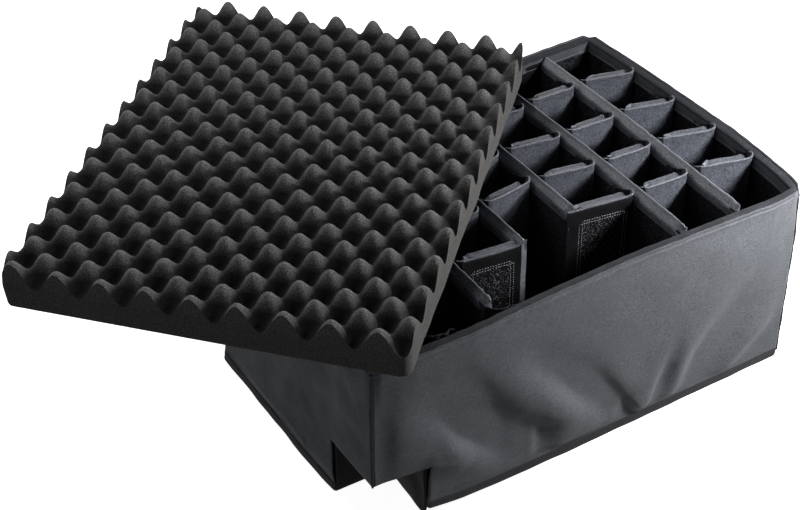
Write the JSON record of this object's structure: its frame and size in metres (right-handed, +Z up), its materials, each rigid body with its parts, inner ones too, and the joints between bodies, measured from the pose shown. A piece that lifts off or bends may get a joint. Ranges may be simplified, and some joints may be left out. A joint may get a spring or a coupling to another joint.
{
  "type": "padded divider tray",
  "caption": "Open padded fabric tray for the inside of an outdoor hard case, with movable hook-and-loop dividers, two wheel-well corners and a loose egg-crate foam for the lid.",
  "frame": {"origin": "middle of the tray's underside, on the surface that the tray stands on", "axes": "+X along the long front and back walls, away from the wheel wells; +Y from the front wall to the back wall; +Z up out of the tray"},
  "size_m": [0.8384, 0.6883, 0.3053],
  "materials": {
    "nylon": "woven nylon cover cloth with a slight sheen",
    "padding": "closed-cell foam board, hidden inside the covers",
    "loop_pile": "brushed loop pile, matt black",
    "binding_tape": "narrow woven edge tape, matt black",
    "divider": "nylon cover cloth over a stiff foam core",
    "foam": "open-cell polyurethane foam, cut egg-crate surface"
  },
  "bodies": {
    "tray": {"base_cover": "nylon", "floor_board": "padding", "floor_lining": "loop_pile", "base_binding": "binding_tape", "wheel_well_near": "nylon", "wheel_well_far": "nylon", "front_board": "padding", "front_cover": "nylon", "front_lining": "loop_pile", "back_board": "padding", "back_cover": "nylon", "back_lining": "loop_pile", "left_board": "padding", "left_cover": "nylon", "left_lining": "loop_pile", "right_board": "padding", "right_cover": "nylon", "right_lining": "loop_pile", "corner_seam_front_left": "binding_tape", "corner_seam_front_right": "binding_tape", "corner_seam_back_right": "binding_tape", "corner_seam_back_left": "binding_tape", "rim_binding": "nylon", "long_divider_2": "divider", "long_divider_3": "divider", "long_divider_4": "divider", "long_divider_5": "divider", "long_divider_6": "divider"},
    "long_divider_1": {"long_divider_1": "divider"},
    "short_divider_1_1": {"short_divider_1_1": "divider"},
    "short_divider_1_2": {"short_divider_1_2": "divider"},
    "short_divider_1_3": {"short_divider_1_3": "divider"},
    "short_divider_1_4": {"short_divider_1_4": "divider"},
    "short_divider_2_2": {"short_divider_2_2": "divider"},
    "short_divider_2_3": {"short_divider_2_3": "divider"},
    "short_divider_2_4": {"short_divider_2_4": "divider"},
    "short_divider_3_3": {"short_divider_3_3": "divider"},
    "short_divider_3_4": {"short_divider_3_4": "divider"},
    "short_divider_2_1": {"short_divider_2_1": "divider"},
    "short_divider_3_1": {"short_divider_3_1": "divider"},
    "short_divider_3_2": {"short_divider_3_2": "divider"},
    "short_divider_4_1": {"short_divider_4_1": "divider"},
    "short_divider_4_2": {"short_divider_4_2": "divider"},
    "short_divider_4_3": {"short_divider_4_3": "divider"},
    "short_divider_5_1": {"short_divider_5_1": "divider"},
    "short_divider_5_2": {"short_divider_5_2": "divider"},
    "short_divider_5_3": {"short_divider_5_3": "divider"},
    "short_divider_5_4": {"short_divider_5_4": "divider"},
    "short_divider_6_1": {"short_divider_6_1": "divider"},
    "short_divider_6_2": {"short_divider_6_2": "divider"},
    "short_divider_6_3": {"short_divider_6_3": "divider"},
    "short_divider_6_4": {"short_divider_6_4": "divider"},
    "short_divider_7_1": {"short_divider_7_1": "divider"},
    "short_divider_7_2": {"short_divider_7_2": "divider"},
    "short_divider_7_3": {"short_divider_7_3": "divider"},
    "lid_foam": {"lid_foam": "foam"}
  },
  "joints": [
    {"name": "long_divider_1_lift", "type": "slide", "parent": "tray", "child": "long_divider_1", "axis": [0, 0, 1], "range_m": [0, 0.245]},
    {"name": "short_divider_1_1_lift", "type": "slide", "parent": "tray", "child": "short_divider_1_1", "axis": [0, 0, 1], "range_m": [0, 0.245]},
    {"name": "short_divider_1_2_lift", "type": "slide", "parent": "tray", "child": "short_divider_1_2", "axis": [0, 0, 1], "range_m": [0, 0.245]},
    {"name": "short_divider_1_3_lift", "type": "slide", "parent": "tray", "child": "short_divider_1_3", "axis": [0, 0, 1], "range_m": [0, 0.245]},
    {"name": "short_divider_1_4_lift", "type": "slide", "parent": "tray", "child": "short_divider_1_4", "axis": [0, 0, 1], "range_m": [0, 0.245]},
    {"name": "short_divider_2_2_lift", "type": "slide", "parent": "tray", "child": "short_divider_2_2", "axis": [0, 0, 1], "range_m": [0, 0.245]},
    {"name": "short_divider_2_3_lift", "type": "slide", "parent": "tray", "child": "short_divider_2_3", "axis": [0, 0, 1], "range_m": [0, 0.245]},
    {"name": "short_divider_2_4_lift", "type": "slide", "parent": "tray", "child": "short_divider_2_4", "axis": [0, 0, 1], "range_m": [0, 0.245]},
    {"name": "short_divider_3_3_lift", "type": "slide", "parent": "tray", "child": "short_divider_3_3", "axis": [0, 0, 1], "range_m": [0, 0.245]},
    {"name": "short_divider_3_4_lift", "type": "slide", "parent": "tray", "child": "short_divider_3_4", "axis": [0, 0, 1], "range_m": [0, 0.245]},
    {"name": "short_divider_2_1_shift", "type": "slide", "parent": "tray", "child": "short_divider_2_1", "axis": [0, 1, 0], "range_m": [-0.012, 0.012]},
    {"name": "short_divider_3_1_shift", "type": "slide", "parent": "tray", "child": "short_divider_3_1", "axis": [0, 1, 0], "range_m": [-0.012, 0.012]},
    {"name": "short_divider_3_2_shift", "type": "slide", "parent": "tray", "child": "short_divider_3_2", "axis": [0, 1, 0], "range_m": [-0.012, 0.012]},
    {"name": "short_divider_4_1_shift", "type": "slide", "parent": "tray", "child": "short_divider_4_1", "axis": [0, 1, 0], "range_m": [-0.012, 0.012]},
    {"name": "short_divider_4_2_shift", "type": "slide", "parent": "tray", "child": "short_divider_4_2", "axis": [0, 1, 0], "range_m": [-0.012, 0.012]},
    {"name": "short_divider_4_3_shift", "type": "slide", "parent": "tray", "child": "short_divider_4_3", "axis": [0, 1, 0], "range_m": [-0.012, 0.012]},
    {"name": "short_divider_5_1_shift", "type": "slide", "parent": "tray", "child": "short_divider_5_1", "axis": [0, 1, 0], "range_m": [-0.012, 0.012]},
    {"name": "short_divider_5_2_shift", "type": "slide", "parent": "tray", "child": "short_divider_5_2", "axis": [0, 1, 0], "range_m": [-0.012, 0.012]},
    {"name": "short_divider_5_3_shift", "type": "slide", "parent": "tray", "child": "short_divider_5_3", "axis": [0, 1, 0], "range_m": [-0.012, 0.012]},
    {"name": "short_divider_5_4_shift", "type": "slide", "parent": "tray", "child": "short_divider_5_4", "axis": [0, 1, 0], "range_m": [-0.012, 0]},
    {"name": "short_divider_6_1_shift", "type": "slide", "parent": "tray", "child": "short_divider_6_1", "axis": [0, 1, 0], "range_m": [-0.012, 0.012]},
    {"name": "short_divider_6_2_shift", "type": "slide", "parent": "tray", "child": "short_divider_6_2", "axis": [0, 1, 0], "range_m": [-0.012, 0.012]},
    {"name": "short_divider_6_3_shift", "type": "slide", "parent": "tray", "child": "short_divider_6_3", "axis": [0, 1, 0], "range_m": [-0.012, 0.012]},
    {"name": "short_divider_6_4_shift", "type": "slide", "parent": "tray", "child": "short_divider_6_4", "axis": [0, 1, 0], "range_m": [-0.012, 0.012]},
    {"name": "short_divider_7_1_shift", "type": "slide", "parent": "tray", "child": "short_divider_7_1", "axis": [0, 1, 0], "range_m": [-0.012, 0.012]},
    {"name": "short_divider_7_2_shift", "type": "slide", "parent": "tray", "child": "short_divider_7_2", "axis": [0, 1, 0], "range_m": [-0.012, 0.012]},
    {"name": "short_divider_7_3_shift", "type": "slide", "parent": "tray", "child": "short_divider_7_3", "axis": [0, 1, 0], "range_m": [-0.012, 0.012]},
    {"name": "lid_foam_lift", "type": "slide", "parent": "tray", "child": "lid_foam", "axis": [0, 0, 1], "range_m": [0, 0.3]}
  ]
}
